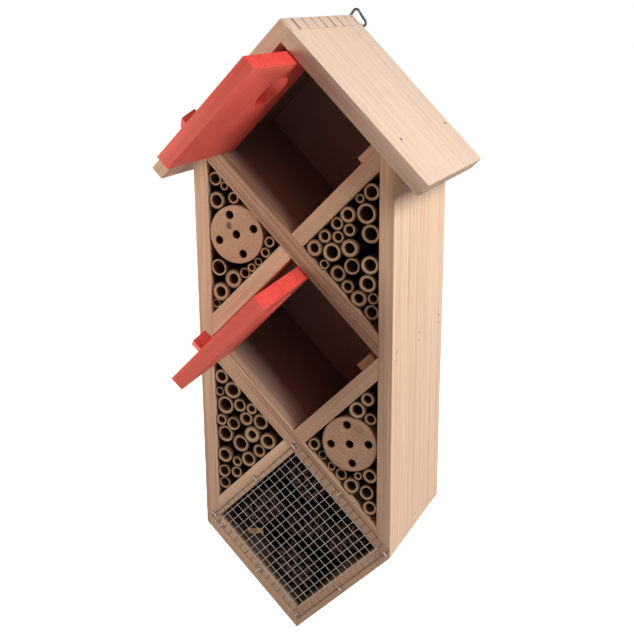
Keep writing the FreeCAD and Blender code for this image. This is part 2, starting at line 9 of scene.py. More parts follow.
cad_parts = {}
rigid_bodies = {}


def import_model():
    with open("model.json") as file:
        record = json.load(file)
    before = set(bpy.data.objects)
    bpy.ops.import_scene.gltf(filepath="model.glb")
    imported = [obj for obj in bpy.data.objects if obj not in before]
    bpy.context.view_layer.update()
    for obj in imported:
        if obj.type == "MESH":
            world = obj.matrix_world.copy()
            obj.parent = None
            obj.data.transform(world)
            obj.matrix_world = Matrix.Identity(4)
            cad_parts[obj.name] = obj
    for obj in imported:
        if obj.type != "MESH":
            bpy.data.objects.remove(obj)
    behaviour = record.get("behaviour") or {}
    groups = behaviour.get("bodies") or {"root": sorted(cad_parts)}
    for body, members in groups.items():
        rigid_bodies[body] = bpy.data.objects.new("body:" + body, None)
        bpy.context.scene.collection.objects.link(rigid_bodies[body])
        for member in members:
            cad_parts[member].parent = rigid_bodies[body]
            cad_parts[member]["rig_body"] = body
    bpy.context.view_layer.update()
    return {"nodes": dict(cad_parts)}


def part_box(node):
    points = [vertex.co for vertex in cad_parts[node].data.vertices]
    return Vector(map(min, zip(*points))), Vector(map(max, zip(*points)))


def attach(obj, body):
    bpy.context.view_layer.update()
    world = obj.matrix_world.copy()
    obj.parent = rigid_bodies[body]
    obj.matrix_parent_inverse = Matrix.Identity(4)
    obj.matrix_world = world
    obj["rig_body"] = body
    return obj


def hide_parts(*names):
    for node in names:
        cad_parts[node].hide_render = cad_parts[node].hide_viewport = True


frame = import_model()
nodes = frame["nodes"]
root2 = math.sqrt(2.0)
rising = Vector((1, 0, 1)) / root2        # the "/" slope
falling = Vector((1, 0, -1)) / root2      # the "\" slope
to_back = Vector((0, 1, 0))
upright = Vector((0, 0, 1))
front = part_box("right_side")[0].y


# ---- mixing finishes ----
def link(tree, value, socket):
    """Feed a socket from a flow, a colour or a number."""
    if isinstance(value, Flow):
        tree.links.new(value.socket, socket)
    elif isinstance(value, (tuple, list, Vector)) and socket.type == "RGBA":
        socket.default_value = (*value[:3], 1.0)
    else:
        socket.default_value = value


class Flow:
    """Something that varies over a surface, with sums and products written as plain arithmetic."""

    def __init__(self, finish, socket):
        self.finish = finish
        self.socket = socket

    def sum_node(self, operation, *values):
        return self.finish.add("ShaderNodeMath", {"operation": operation}, dict(enumerate(values)))

    def __add__(self, other):
        return self.sum_node("ADD", self, other)

    def __radd__(self, other):
        return self.sum_node("ADD", other, self)

    def __sub__(self, other):
        return self.sum_node("SUBTRACT", self, other)

    def __rsub__(self, other):
        return self.sum_node("SUBTRACT", other, self)

    def __mul__(self, other):
        return self.sum_node("MULTIPLY", self, other)

    def __rmul__(self, other):
        return self.sum_node("MULTIPLY", other, self)

    def __truediv__(self, other):
        return self.sum_node("DIVIDE", self, other)

    def __pow__(self, other):
        return self.sum_node("POWER", self, other)

    def __abs__(self):
        return self.sum_node("ABSOLUTE", self)

    def part(self):
        """What is left over the whole number below."""
        return self.sum_node("FRACT", self)

    def most(self, other):
        return self.sum_node("MAXIMUM", self, other)

    def step(self, low, high):
        """0 up to low, 1 from high on, smooth between."""
        settings = {"interpolation_type": "SMOOTHSTEP"}
        sockets = {"Value": self, "From Min": low, "From Max": high}
        return self.finish.add("ShaderNodeMapRange", settings, sockets)

    def along(self, direction):
        """How far this position is along a direction."""
        sockets = {0: self, 1: tuple(direction)}
        return self.finish.add("ShaderNodeVectorMath", {"operation": "DOT_PRODUCT"}, sockets, "Value")


class Finish:
    """One material being mixed."""

    def __init__(self, name, **constants):
        self.material = bpy.data.materials.new(name)
        self.material.use_nodes = True
        self.tree = self.material.node_tree
        self.surface = self.tree.nodes["Principled BSDF"]
        for socket, value in constants.items():
            link(self.tree, value, self.surface.inputs[socket.replace("_", " ")])

    def add(self, kind, settings=None, sockets=None, out=0):
        """A node of a type, its settings, then its sockets. Returns one of its outputs."""
        made = self.tree.nodes.new(kind)
        for key, value in (settings or {}).items():
            setattr(made, key, value)
        for key, value in (sockets or {}).items():
            link(self.tree, value, made.inputs[key])
        return Flow(self, made.outputs[out])

    def place(self):
        return self.add("ShaderNodeTexCoord", out="Object")

    def facing(self):
        return self.add("ShaderNodeTexCoord", out="Normal")

    def mark(self, name):
        """A number kept on the piece's own points."""
        return self.add("ShaderNodeAttribute", {"attribute_name": name}, out="Fac")

    def vector(self, x, y, z):
        return self.add("ShaderNodeCombineXYZ", None, {0: x, 1: y, 2: z})

    def cloud(self, at, scale, detail=3.0, rough=0.5):
        """Soft noise, about 0.2 to 0.8."""
        sockets = {"Vector": at, "Scale": scale, "Detail": detail, "Roughness": rough}
        return self.add("ShaderNodeTexNoise", {"noise_dimensions": "3D"}, sockets)

    def cells(self, at, scale, feature="F1"):
        """How far it is to the nearest of many scattered points, or to the edge between their cells."""
        sockets = {"Vector": at, "Scale": scale}
        return self.add("ShaderNodeTexVoronoi", {"feature": feature}, sockets, "Distance")

    def blend(self, amount, first, second):
        """From the first colour to the second."""
        settings = {"data_type": "RGBA", "blend_type": "MIX", "clamp_factor": True}
        return self.add("ShaderNodeMix", settings, {0: amount, 6: first, 7: second}, 2)

    def relief(self, height, distance):
        """Raise and lower the surface. Distance in metres."""
        sockets = {"Height": height, "Distance": distance, "Strength": 1.0}
        link(self.tree, self.add("ShaderNodeBump", None, sockets), self.surface.inputs["Normal"])

    def feed(self, **flows):
        for socket, value in flows.items():
            link(self.tree, value, self.surface.inputs[socket.replace("_", " ")])
        return self.material


# ---- wood ----
pale_wood = (0.80, 0.60, 0.44)
late_wood = (0.60, 0.37, 0.23)
shade_wood = (0.36, 0.22, 0.13)
vein_wood = (0.26, 0.145, 0.085)
sawn_relief = 0.00016
stained_relief = 0.00008
end_ring = 0.0148                         # the wide rings across a weathered end
low_level, high_level = -0.22, 0.16       # between these a board with painted shade low down gets darker downward


def wood(name, node, grain, face, pith, ring=0.0042, early=pale_wood, late=late_wood, contrast=0.55,
         seed=0.0, wave=0.004, stain=None, painted_inside_shade=None, inner=None, veins=0.24, end_lines=None, painted_low_shade=0.0):
    """Sawn softwood: rings round a pith line, seen as lines on the faces and arcs on the ends.

    grain and face are directions. pith is how far the pith lies from the board's middle, along the
    face direction and along the third one. ring is the width of a year's growth, early and late its
    two colours, contrast how much they differ, and wave how much the grain wanders.
    stain is a red stain's colour and its colour where it has soaked in. painted_inside_shade is the
    colour of painted shade inside the house, the depth behind the front that it takes, and how much;
    inner is the way that a face must look to take that painted shade. veins is how dark the thin resin
    lines are. end_lines is the colour of a weathered end and of the wide rings across it.
    painted_low_shade is how much darker the board is painted low down, as painted shade.
    """
    finish = Finish(name, Specular_IOR_Level=0.35)
    grain = Vector(grain).normalized()
    face = Vector(face).normalized()
    cross = grain.cross(face)
    at = finish.place()
    low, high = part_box(node)
    middle = (low + high) / 2
    lengthwise = at.along(grain)
    over = at.along(face)
    aside = at.along(cross)
    bend = finish.vector(lengthwise * 5.0 + seed, over * 14.0, aside * 14.0 + seed * 3)
    bow = (finish.cloud(bend, 1.0, 2.0) - 0.5) * (wave * 4)
    slow = finish.vector(lengthwise * 1.7 + seed * 7, over * 3.0, aside * 3.0)
    drift = (finish.cloud(slow, 1.0, 1.0) - 0.5) * (wave * 6)
    first = over - (middle.dot(face) + pith[0]) + drift
    second = aside - (middle.dot(cross) + pith[1])
    reach = (first * first + second * second) ** 0.5 + bow
    uneven = finish.cloud(finish.vector(reach * 120.0, seed, 0.0), 1.0, 2.0) * 1.6
    turn = (reach / ring + uneven).part()
    ring_line = turn.step(0.35, 0.93) * (1 - turn.step(0.95, 1.0))
    fibre_at = finish.vector(lengthwise * 26.0, over * 1300.0, aside * 1300.0)
    fibre = finish.cloud(fibre_at, 1.0, 3.0, 0.6)
    streak_at = finish.vector(lengthwise * 9.0 + seed, over * 260.0, aside * 260.0)
    streak = finish.cloud(streak_at, 1.0, 3.0, 0.55)
    pore_at = finish.vector(lengthwise * 90.0, over * 2200.0, aside * 2200.0)
    pore = finish.cloud(pore_at, 1.0, 1.0).step(0.66, 0.78)
    vein_at = finish.vector(lengthwise * 5.0 + seed * 5, over * 430.0, aside * 430.0)
    vein = finish.cloud(vein_at, 1.0, 1.0, 0.5).step(0.57, 0.63)
    end = abs(finish.facing().along(grain)).step(0.55, 0.8)
    tone = finish.cloud(finish.vector(lengthwise * 2.5 + seed, over * 16.0, aside * 16.0), 1.0, 2.0)
    band = finish.cloud(finish.vector(reach * 60.0, seed + 4.0, 0.0), 1.0, 1.0)
    strength = ring_line * (contrast * 0.35 + band * contrast)
    colour = finish.blend(strength + end * ring_line * 0.25, early, late)
    colour = finish.blend((streak - 0.42) * 1.5, colour, late)
    colour = finish.blend(fibre.step(0.35, 0.75) * 0.20, colour, shade_wood)
    colour = finish.blend(vein * (1 - end) * veins, colour, vein_wood)
    colour = finish.blend(pore * (1 - end) * 0.3, colour, shade_wood)
    colour = finish.blend((tone - 0.4) * 0.7, colour, tuple(c * f for c, f in zip(early, (1.05, 0.92, 0.82))))
    grit = finish.cells(at, 2600.0)
    colour = finish.blend(end * (0.22 + (1 - grit) * 0.18), colour, shade_wood)
    if end_lines:
        colour = finish.blend(end * 0.8, colour, end_lines[0])
        apart = (second / end_ring + uneven * 0.45).part()
        sharp = apart.step(0.80, 0.975) * (1 - apart.step(0.98, 1.0)) * (0.35 + band * 1.3)
        colour = finish.blend(sharp * end, colour, end_lines[1])
    # Painted shade: the board is painted darker towards the bottom.
    if painted_low_shade:
        down = 1 - at.along(upright).step(low_level, high_level)
        colour = finish.blend(down * painted_low_shade, colour, shade_wood)
    if stain:
        colour = finish.blend(0.93 - ring_line * 0.05, colour, stain[0])
        dark = ring_line * 0.12 + (streak - 0.42) * 0.8 + end * (0.72 + (tone - 0.5) * 0.9)
        colour = finish.blend(dark, colour, stain[1])
    # Painted shade inside the house: faces behind the front darken towards this colour with depth.
    if painted_inside_shade:
        inside = at.along(to_back).step(front + 0.0005, front + painted_inside_shade[1]) * painted_inside_shade[2]
        if inner:
            inside = inside * finish.facing().along(Vector(inner).normalized()).step(0.4, 0.7)
        colour = finish.blend(inside, colour, painted_inside_shade[0])
    height = fibre * 0.5 + ring_line * 0.5 + end * grit * 0.6 - pore * 0.6
    finish.relief(height, stained_relief if stain else sawn_relief)
    rough = 0.62 + ring_line * -0.08 + fibre * 0.12 + end * 0.12
    return finish.feed(Base_Color=colour, Roughness=rough if not stain else rough - 0.14)


# Painted shade inside the compartments: its colour, the depth behind the front that it takes, and how much;
# the second sets in sooner and darker.
painted_inside_shade = ((0.350, 0.240, 0.205), 0.018, 0.95)
painted_deep_shade = ((0.065, 0.036, 0.027), 0.007, 0.95)
red_stain = ((0.99, 0.128, 0.098), (0.66, 0.045, 0.036))
tan_wood = (0.70, 0.50, 0.35)

# Each board: grain direction, face direction, where its pith lies, and what sets it apart.
boards = {
    "left_side": (upright, (1, 0, 0), (-0.045, 0.02), {"painted_inside_shade": painted_deep_shade, "inner": (1, 0, 0)}),
    "right_side": (upright, (1, 0, 0), (-0.055, 0.035), {
        "ring": 0.0048, "wave": 0.003, "contrast": 0.42, "painted_inside_shade": painted_deep_shade, "inner": (-1, 0, 0),
        "veins": 0.22, "painted_low_shade": 0.2}),
    "roof_left": (rising, falling, (0.03, 0.30), {
        "ring": 0.0062, "contrast": 0.95, "wave": 0.001, "painted_inside_shade": painted_inside_shade, "inner": falling,
        "end_lines": ((0.64, 0.52, 0.44), (0.20, 0.13, 0.10))}),
    "roof_right": (falling, rising, (0.05, -0.09), {
        "ring": 0.0046, "wave": 0.002, "contrast": 0.5, "painted_inside_shade": painted_inside_shade, "inner": -rising,
        "early": (0.765, 0.635, 0.515), "late": (0.62, 0.43, 0.32), "veins": 0.05}),
    "upper_long_divider": (falling, rising, (-0.016, 0.05), {
        "painted_inside_shade": painted_inside_shade, "contrast": 1.1, "early": (0.50, 0.335, 0.225), "late": (0.34, 0.19, 0.11),
        "ring": 0.0030, "veins": 0.85}),
    "lower_long_divider": (falling, rising, (0.04, 0.07), {
        "painted_inside_shade": painted_inside_shade, "early": (0.62, 0.44, 0.31), "veins": 0.6, "ring": 0.0034}),
    "upper_right_divider": (rising, falling, (0.05, 0.06), {
        "painted_inside_shade": painted_inside_shade, "contrast": 0.35, "early": tan_wood}),
    "middle_right_divider": (rising, falling, (0.06, 0.03), {
        "painted_inside_shade": painted_inside_shade, "contrast": 0.4, "early": tan_wood}),
    "upper_left_divider": (rising, falling, (-0.05, 0.08), {"painted_inside_shade": painted_inside_shade, "contrast": 0.35}),
    "lower_left_divider": (rising, falling, (-0.06, 0.05), {"painted_inside_shade": painted_inside_shade, "contrast": 0.45}),
    "bottom_right": (rising, falling, (0.04, 0.06), {
        "contrast": 0.5, "early": tan_wood, "painted_inside_shade": painted_deep_shade, "inner": -falling}),
    "bottom_left": (falling, rising, (-0.05, 0.07), {"contrast": 0.5, "painted_inside_shade": painted_deep_shade, "inner": rising}),
    "back_panel": (upright, (0, 1, 0), (0.07, 0.01), {"painted_inside_shade": painted_inside_shade, "inner": (0, -1, 0), "ring": 0.006}),
    "upper_door_stop": (rising, falling, (0.02, 0.02), {}),
    "lower_door_stop": (rising, falling, (0.03, 0.02), {}),
}


# ---- shaping and showing ----
def copy_of(node):
    """A node's geometry, its seams joined, ready to be reshaped."""
    mesh = bmesh.new()
    mesh.from_mesh(nodes[node].data)
    bmesh.ops.remove_doubles(mesh, verts=mesh.verts, dist=1e-6)
    return mesh


def ease_edges(mesh, width, crease):
    """Merge flat faces, then round the edges that are sharper than crease, in degrees."""
    bmesh.ops.dissolve_limit(mesh, angle_limit=math.radians(1.0), verts=mesh.verts, edges=mesh.edges)
    crisp = [e for e in mesh.edges if len(e.link_faces) == 2 and e.calc_face_angle(0) > math.radians(crease)]
    bmesh.ops.bevel(mesh, geom=crisp, offset=width, segments=2, profile=0.6, affect="EDGES",
                    clamp_overlap=True)


def softened(node, width):
    """A copy of a board with its sawn edges eased, shown in the board's place."""
    mesh = copy_of(node)
    ease_edges(mesh, width, 35)
    return show(mesh, node + "_eased", nodes[node]["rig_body"], node)


def show(mesh, name, body, *replaced, angle=40.0):
    """Turn built geometry into a piece on a body, smooth but for edges sharper than angle."""
    data = bpy.data.meshes.new(name)
    mesh.to_mesh(data)
    mesh.free()
    piece = bpy.data.objects.new(name, data)
    bpy.context.scene.collection.objects.link(piece)
    data.shade_smooth()
    data.set_sharp_from_angle(angle=math.radians(angle))
    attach(piece, body)
    if replaced:
        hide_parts(*replaced)
    return piece


def dress(piece, finish):
    piece.data.materials.clear()
    piece.data.materials.append(finish)


def loose_parts(node):
    """The points of each separate solid in a node."""
    mesh = copy_of(node)
    left = set(mesh.verts)
    found = []
    while left:
        group = []
        heap = [left.pop()]
        while heap:
            vert = heap.pop()
            group.append(vert.co.copy())
            for edge in vert.link_edges:
                other = edge.other_vert(vert)
                if other in left:
                    left.remove(other)
                    heap.append(other)
        found.append(group)
    mesh.free()
    return found


def loose_boxes(node):
    """Lowest corner, highest corner and points of each separate solid, in a fixed order."""
    found = []
    for group in loose_parts(node):
        low = Vector([min(p[k] for p in group) for k in range(3)])
        high = Vector([max(p[k] for p in group) for k in range(3)])
        found.append((low, high, group))
    return sorted(found, key=lambda each: tuple(each[0]))


def skin(mesh, rows):
    """Faces from each ring of points to the next."""
    for near, far in zip(rows, rows[1:]):
        for k in range(len(near)):
            after = (k + 1) % len(near)
            mesh.faces.new((near[k], near[after], far[after], far[k]))


def closed_skin(mesh, rows):
    """The same, with the first and last rings filled."""
    skin(mesh, rows)
    mesh.faces.new(rows[0][::-1])
    mesh.faces.new(rows[-1])


def built(mesh, name, finish, *replaced, angle):
    """Show a mesh that was made here, as a piece of the house."""
    bmesh.ops.recalc_face_normals(mesh, faces=mesh.faces)
    piece = show(mesh, name, "house", *replaced, angle=angle)
    dress(piece, finish)
    return piece


# ---- boards ----
board_edge = 0.0005
door_edge = 0.0007
for number, (node, (grain, face, pith, more)) in enumerate(boards.items()):
    piece = softened(node, board_edge)
    name = "wood of " + node.replace("_", " ")
    dress(piece, wood(name, node, grain, face, pith, seed=number * 1.37, **more))

# ---- doors ----
knob_stain = ((0.86, 0.070, 0.052), (0.30, 0.014, 0.014))
for number, level in enumerate(("upper", "lower")):
    panel = softened(level + "_door", door_edge)
    dress(panel, wood("red stain on the %s door" % level, level + "_door", rising, falling, (0.035, 0.05),
                      ring=0.004, stain=red_stain, seed=3.1 + number * 2.6, wave=0.003))
    knob = softened(level + "_door_knob", board_edge)
    dress(knob, wood("red stain on the %s knob" % level, level + "_door_knob", falling, rising,
                     (0.004, 0.012), ring=0.0016, stain=knob_stain, seed=8.2))


# ---- bamboo ----
def tube_sizes(node):
    """Each tube's axis, radius, bore radius, front end and back end, read from its solid."""
    found = []
    for group in loose_parts(node):
        xs = [p.x for p in group]
        ys = [p.y for p in group]
        zs = [p.z for p in group]
        x = (min(xs) + max(xs)) / 2
        z = (min(zs) + max(zs)) / 2
        bore = min(math.hypot(p.x - x, p.z - z) for p in group)
        found.append((x, z, (max(xs) - min(xs)) / 2, bore, min(ys), max(ys)))
    return sorted(found)


def lay_tube(mesh, wall, tone, tube, chance):
    """A cut length of cane: a little out of round, its sawn ends not quite square.

    wall marks how far a point is through the cane's wall, from the bore to the rind.
    """
    x, z, radius, bore, y_front, y_back = tube
    length = y_back - y_front
    turns = 40
    lining = 0.060
    joint_swell = 0.004
    squeeze = chance.uniform(0.0, 0.035)
    turned = chance.uniform(0, math.pi)
    tilt_x = chance.uniform(-0.05, 0.05)
    tilt_z = chance.uniform(-0.05, 0.05)
    shade = chance.random()
    seed = chance.uniform(0, 50)
    thick = radius - bore
    edge = min(0.00035, thick * 0.22)
    joint = length * chance.uniform(0.3, 0.8)
    profile = [
        (bore, lining, 0.0), (bore, 0.0012, 0.02), (bore + edge * 0.5, 0.0002, 0.10),
        (bore + thick * 0.35, 0.0, 0.40), (bore + thick * 0.75, 0.0, 0.75), (radius - edge, 0.0, 0.92),
        (radius * 0.996, edge, 0.98), (radius, edge * 3, 1.0), (radius, 0.02, 1.0),
        (radius * 0.985, joint - joint_swell, 1.0), (radius, joint, 1.0),
        (radius * 0.985, joint + joint_swell, 1.0), (radius * 0.99, length, 1.0), (bore, length, 0.0),
    ]
    rows = []
    for distance, back, share in profile:
        row = []
        for step in range(turns):
            angle = 2 * math.pi * step / turns
            oval = 1 - squeeze * (0.5 + 0.5 * math.cos(2 * (angle - turned)))
            round_at = Vector((math.cos(angle) * 1.2, math.sin(angle) * 1.2, seed + back * 8))
            rough = noise.noise(round_at) * 0.02
            if share < 0.3:
                rough *= 3.0
            reach = distance * min(1.0, oval * (1 + rough) - (0.006 if share == 1.0 else 0))
            dx = reach * math.cos(angle)
            dz = reach * math.sin(angle)
            y = y_front + back
            if back < 0.01:
                y += tilt_x * dx + tilt_z * dz + 0.00012 * noise.noise(Vector((dx, dz, seed)) * 1500)
                y = max(y, y_front - 0.0004)
            vert = mesh.verts.new((x + dx, y, z + dz))
            vert[wall] = share
            vert[tone] = shade
            row.append(vert)
        rows.append(row)
    skin(mesh, rows + rows[:1])


def cane_finish():
    """Cane: dotted flesh at the cut, a dark rind outside, pith round the bore, and painted shade further in,
    strongest on the outsides of the tubes.
    """
    finish = Finish("cane", Specular_IOR_Level=0.4)
    at = finish.place()
    wall = finish.mark("wall")
    tone = finish.mark("tone")
    end = abs(finish.facing().along(to_back)).step(0.6, 0.85)
    bundles = finish.cells(finish.vector(at.along((1, 0, 0)), 0.0, at.along(upright)), 2300.0)
    dots = 1 - bundles.step(0.12, 0.36)
    smudge = finish.cloud(at, 420.0, 3.0)
    flesh = finish.blend(smudge, (0.60, 0.42, 0.26), (0.40, 0.25, 0.145))
    flesh = finish.blend(dots * (0.25 + wall * 0.5), flesh, (0.20, 0.11, 0.06))
    flesh = finish.blend(tone.step(0.55, 1.0) * 0.6, flesh, (0.62, 0.47, 0.31))
    flesh = finish.blend((1 - tone).step(0.6, 1.0) * 0.55, flesh, (0.36, 0.225, 0.14))
    rind = finish.blend(smudge, (0.215, 0.140, 0.090), (0.105, 0.066, 0.042))
    under_skin = wall.step(0.9, 0.97) * (1 - wall.step(0.985, 1.0))
    rind = finish.blend(under_skin * 0.5, rind, (0.12, 0.07, 0.035))
    pith = finish.blend(smudge, (0.24, 0.125, 0.080), (0.12, 0.060, 0.040))
    flesh = finish.blend((1 - wall.step(0.12, 0.45)) * 0.5, flesh, (0.72, 0.55, 0.38))
    colour = finish.blend(wall.step(0.50, 0.90), flesh, rind)
    colour = finish.blend(1 - wall.step(0.0, 0.16), colour, pith)
    outside = wall.step(0.80, 0.98)
    # Painted shade in the gaps between tubes: darker behind the front, most on the tubes' outer sides.
    painted_shade_behind = at.along(to_back).step(front + 0.0008, front + 0.0055)
    colour = finish.blend(painted_shade_behind * (0.32 + outside * 0.62), colour, (0.035, 0.020, 0.014))
    line_at = finish.vector(at.along((1, 0, 0)) * 900, at.along(to_back) * 30, at.along(upright) * 900)
    long_lines = finish.cloud(line_at, 1.0)
    finish.relief(dots * end * -0.5 + long_lines * 0.5 + smudge * 0.4, 0.00018)
    return finish.feed(Base_Color=colour, Roughness=0.72 - wall.step(0.95, 1.0) * (1 - end) * 0.28)


def lay_bundle(node, finish, chance):
    mesh = bmesh.new()
    wall = mesh.verts.layers.float.new("wall")
    tone = mesh.verts.layers.float.new("tone")
    for tube in tube_sizes(node):
        lay_tube(mesh, wall, tone, tube, chance)
    piece = built(mesh, node + "_canes", finish, node, angle=50)


cane = cane_finish()
for number, corner in enumerate(("upper_left", "upper_right", "lower_left", "lower_right")):
    lay_bundle(corner + "_bamboo", cane, random.Random(21 + number))


# ---- drilled logs ----
log_ring = 0.0031


def log_finish(name, centre, knot, heart_dark):
    """End grain round a heart that lies off the middle, by knot; heart_dark is how dark it is."""
    finish = Finish(name, Specular_IOR_Level=0.3)
    at = finish.place()
    across = at.along((1, 0, 0)) - centre[0]
    up = at.along(upright) - centre[1]
    end = abs(finish.facing().along(to_back)).step(0.6, 0.9)
    warp = (finish.cloud(at, 60.0, 2.0) - 0.5) * 0.006
    knot_x = across - knot[0]
    knot_z = up - knot[1]
    reach = (knot_x * knot_x + knot_z * knot_z) ** 0.5 + warp
    turn = (reach / log_ring + finish.cloud(at, 140.0, 2.0) * 0.7).part()
    line = turn.step(0.3, 0.9) * (1 - turn.step(0.93, 1.0))
    speck = finish.cells(finish.vector(across, 0.0, up), 1500.0).step(0.05, 0.4)
    fine = finish.cloud(at, 900.0, 4.0, 0.65)
    saw = finish.cloud(finish.vector(across * 60 + up * 500, 0.0, up * 60 - across * 500), 1.0, 2.0)
    face = finish.blend(line * 0.20, (0.62, 0.42, 0.28), (0.46, 0.285, 0.175))
    face = finish.blend((fine - 0.38) * 1.2, face, (0.38, 0.23, 0.13))
    face = finish.blend((1 - speck) * 0.35, face, (0.33, 0.19, 0.11))
    face = finish.blend(saw.step(0.55, 0.75) * 0.18, face, (0.78, 0.60, 0.42))
    heart = 1 - (reach + warp).step(0.0012, log_ring)
    face = finish.blend(heart * heart_dark, face, (0.11, 0.075, 0.055))
    rim = (across * across + up * up) ** 0.5
    face = finish.blend(rim.step(0.0195, 0.0211) * 0.6, face, (0.34, 0.21, 0.125))
    skin = finish.blend(finish.cloud(at, 160.0, 4.0), (0.42, 0.27, 0.16), (0.20, 0.12, 0.07))
    colour = finish.blend(end, skin, face)
    # Painted shade inside the drilled bore, darker further in.
    painted_bore_shade = at.along(to_back).step(front + 0.0012, front + 0.004)
    bore = (1 - end) * (1 - rim.step(0.0185, 0.0195))
    colour = finish.blend(bore * (0.35 + painted_bore_shade * 0.6), colour, (0.085, 0.032, 0.022))
    finish.relief(fine * 0.7 + line * 0.3 + saw * 0.3, 0.0003)
    return finish.feed(Base_Color=colour, Roughness=0.78 - fine * 0.1)


def shape_log(node, knot, heart_dark, seed):
    """The drilled length of branch, a little out of round, its edges eased."""
    low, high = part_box(node)
    cx = (low.x + high.x) / 2
    cz = (low.z + high.z) / 2
    radius = (high.x - low.x) / 2
    mesh = copy_of(node)
    ease_edges(mesh, 0.0004, 50)
    for vert in mesh.verts:
        dx = vert.co.x - cx
        dz = vert.co.z - cz
        reach = math.hypot(dx, dz)
        if reach > radius * 0.9:
            angle = math.atan2(dz, dx)
            dent = noise.noise(Vector((math.cos(angle) * 1.3, math.sin(angle) * 1.3, seed)))
            shrink = 1 - 0.012 - 0.022 * abs(dent)
            vert.co.x = cx + dx * shrink
            vert.co.z = cz + dz * shrink
    piece = show(mesh, node + "_shaped", "house", node, angle=35)
    dress(piece, log_finish("sawn " + node.replace("_", " "), (cx, cz), knot, heart_dark))


shape_log("upper_left_log", (-0.0052, 0.0054), 0.85, 1.0)
shape_log("lower_right_log", (0.0065, 0.0135), 0.2, 4.0)


# ---- metal ----
def metal(name, colour, rough, dirt, grain=900.0):
    """A metal with a fine bloom of that grain, and patches of dirt."""
    finish = Finish(name, Metallic=1.0)
    at = finish.place()
    bloom = finish.cloud(at, grain, 3.0)
    wear = finish.cloud(at, grain / 6, 2.0).step(0.45, 0.7)
    tint = finish.blend(bloom, colour, tuple(c * 0.72 for c in colour))
    tint = finish.blend(wear * 0.5, tint, dirt)
    finish.relief(bloom, 0.00004)
    return finish.feed(Base_Color=tint, Roughness=rough + bloom * 0.2)


staple_steel = metal("staple steel", (0.40, 0.39, 0.38), 0.30, (0.16, 0.15, 0.14))
ring_steel = metal("ring wire", (0.17, 0.18, 0.19), 0.24, (0.09, 0.09, 0.09))
plate_zinc = metal("zinc on the hanger plate", (0.66, 0.66, 0.64), 0.33, (0.44, 0.43, 0.40), 500.0)
nail_steel = metal("nail heads", (0.46, 0.44, 0.42), 0.38, (0.20, 0.15, 0.11))


def bar(mesh, points, radius, sides=10):
    """A round wire through points, with closed ends."""
    rows = []
    for i, point in enumerate(points):
        before = points[max(0, i - 1)]
        after = points[min(len(points) - 1, i + 1)]
        way = (after - before).normalized()
        side = way.cross(Vector((0.31, 0.87, 0.39))).normalized()
        other = way.cross(side)
        rows.append([
            mesh.verts.new(point + radius * (side * math.cos(a) + other * math.sin(a)))
            for a in (2 * math.pi * k / sides for k in range(sides))
        ])
    closed_skin(mesh, rows)


wire = 0.00055                            # the depth that each layer of wires takes up
wire_radius = wire * 0.32
mesh_pitch = 0.00635
cells_across = 16
overrun = 0.0009                          # how far a wire runs on past the last crossing
opening_half = 0.0455                     # half of the clear opening that the mesh covers
staple_wire = 0.00045
mesh_low, mesh_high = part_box("wire_mesh")
mesh_middle = (mesh_low + mesh_high) / 2
mesh_middle.y = front


def mesh_finish():
    """Zinc-coated wire, bright across the opening and darker where it lies on the boards, partly stained and
    partly painted shade.
    """
    finish = Finish("zinc on the mesh wire", Specular_IOR_Level=0.6)
    at = finish.place()
    down = abs(at.along(falling) - mesh_middle.dot(falling))
    up = abs(at.along(rising) - mesh_middle.dot(rising))
    on_board = down.most(up).step(opening_half - 0.0005, opening_half + 0.0007)
    bloom = finish.cloud(at, 700.0, 3.0)
    bright = finish.blend(bloom, (0.60, 0.58, 0.55), (0.40, 0.385, 0.36))
    # Over the boards the wire's colour is part stain, part painted shade.
    stained_and_shaded = finish.blend(bloom, (0.17, 0.13, 0.10), (0.095, 0.070, 0.052))
    finish.relief(bloom, 0.00004)
    colour = finish.blend(on_board, bright, stained_and_shaded)
    return finish.feed(Base_Color=colour, Metallic=0.75 - on_board * 0.45, Roughness=0.45 + bloom * 0.2)


def weld_mesh():
    """Wires in two layers that lie close together, hardly bent."""
    chance = random.Random(8)
    mesh = bmesh.new()
    rim = cells_across * mesh_pitch / 2
    end = rim + overrun
    for layer, (along, across) in enumerate(((rising, falling), (falling, rising))):
        for number in range(cells_across + 1):
            offset = number * mesh_pitch - rim
            lean = chance.uniform(-0.0001, 0.0001)
            seed = chance.uniform(0, 90)
            points = []
            for k in range(-1, 2 * cells_across + 2):
                reach = min(max(k * mesh_pitch / 2 - rim, -end), end)
                drift = lean * reach / rim + 0.00016 * noise.noise(Vector((reach * 60, seed, 0)))
                level = wire * (layer + 0.5) - (0.00006 if layer else -0.00006)
                points.append(mesh_middle + along * reach + across * (offset + drift) - to_back * level)
            bar(mesh, points, wire_radius, 8)
    piece = built(mesh, "welded_mesh", mesh_finish(), "wire_mesh", angle=60)


def bend_staples():
    """Round-wire staples bent over the rim of the mesh."""
    chance = random.Random(5)
    mesh = bmesh.new()
    for x, z, y_low, way in staple_places():
        lean = chance.uniform(-0.12, 0.12)
        along = (way + lean * Vector((way.z, 0, -way.x))).normalized()
        half = 0.00235
        crown = y_low + staple_wire
        legs = front + 0.0055
        corner = 0.0006
        leg = ((half, legs), (half, crown + corner), (half - corner * 0.3, crown + corner * 0.3),
               (half - corner, crown))
        line = [Vector((x, y, z)) - along * out for out, y in leg]
        line += [Vector((x, y, z)) + along * out for out, y in reversed(leg)]
        bar(mesh, line, staple_wire)
    piece = built(mesh, "bent_staples", staple_steel, "mesh_staples", angle=50)


